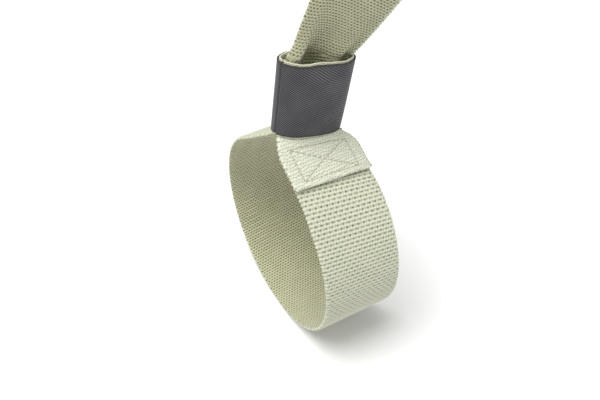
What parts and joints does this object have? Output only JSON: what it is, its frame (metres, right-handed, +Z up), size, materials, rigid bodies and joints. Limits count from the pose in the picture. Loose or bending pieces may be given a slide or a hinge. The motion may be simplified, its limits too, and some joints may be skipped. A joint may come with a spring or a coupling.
{
  "type": "stretching strap",
  "caption": "Woven webbing strap with a sliding cinch loop at each end, drawn round a roll and joined by a carrying arch; taken off the roll it serves as a stretching strap.",
  "frame": {"origin": "on the axis of the roll that both loops hold, half way between the two loops", "axes": "+X along the roll from the near loop to the far loop, +Y to the back of the loops, +Z up towards the carrying arch"},
  "size_m": [0.4884, 0.1214, 0.4205],
  "materials": {
    "webbing": "coarse ribbed natural webbing",
    "webbing_inner": "finer inner face of the webbing",
    "lining": "pale webbing",
    "cover": "charcoal coated twill with a slight sheen",
    "thread": "sewing thread in the webbing's colour",
    "dark_thread": "dark sewing thread"
  },
  "bodies": {
    "webbing": {"near_loop_band": "webbing", "near_strap_run": "webbing_inner", "handle_arch": "webbing_inner", "far_strap_run": "webbing_inner", "far_loop_band": "webbing"},
    "near_cinch": {"near_folded_end": "webbing_inner", "near_sleeve_lining": "lining", "near_sleeve_cover": "cover", "near_box_stitch": "thread", "near_fold_seam": "thread", "near_cover_seam": "dark_thread"},
    "far_cinch": {"far_folded_end": "webbing_inner", "far_sleeve_lining": "lining", "far_sleeve_cover": "cover", "far_box_stitch": "thread", "far_fold_seam": "thread", "far_cover_seam": "dark_thread"}
  },
  "joints": [
    {"name": "near_cinch_slide", "type": "slide", "parent": "webbing", "child": "near_cinch", "axis": [0.1392, 0, 0.9903], "range_m": [0, 0.025], "deforming": ["near_strap_run"]},
    {"name": "far_cinch_slide", "type": "slide", "parent": "webbing", "child": "far_cinch", "axis": [-0.1392, 0, 0.9903], "range_m": [0, 0.025], "deforming": ["far_strap_run"]}
  ]
}
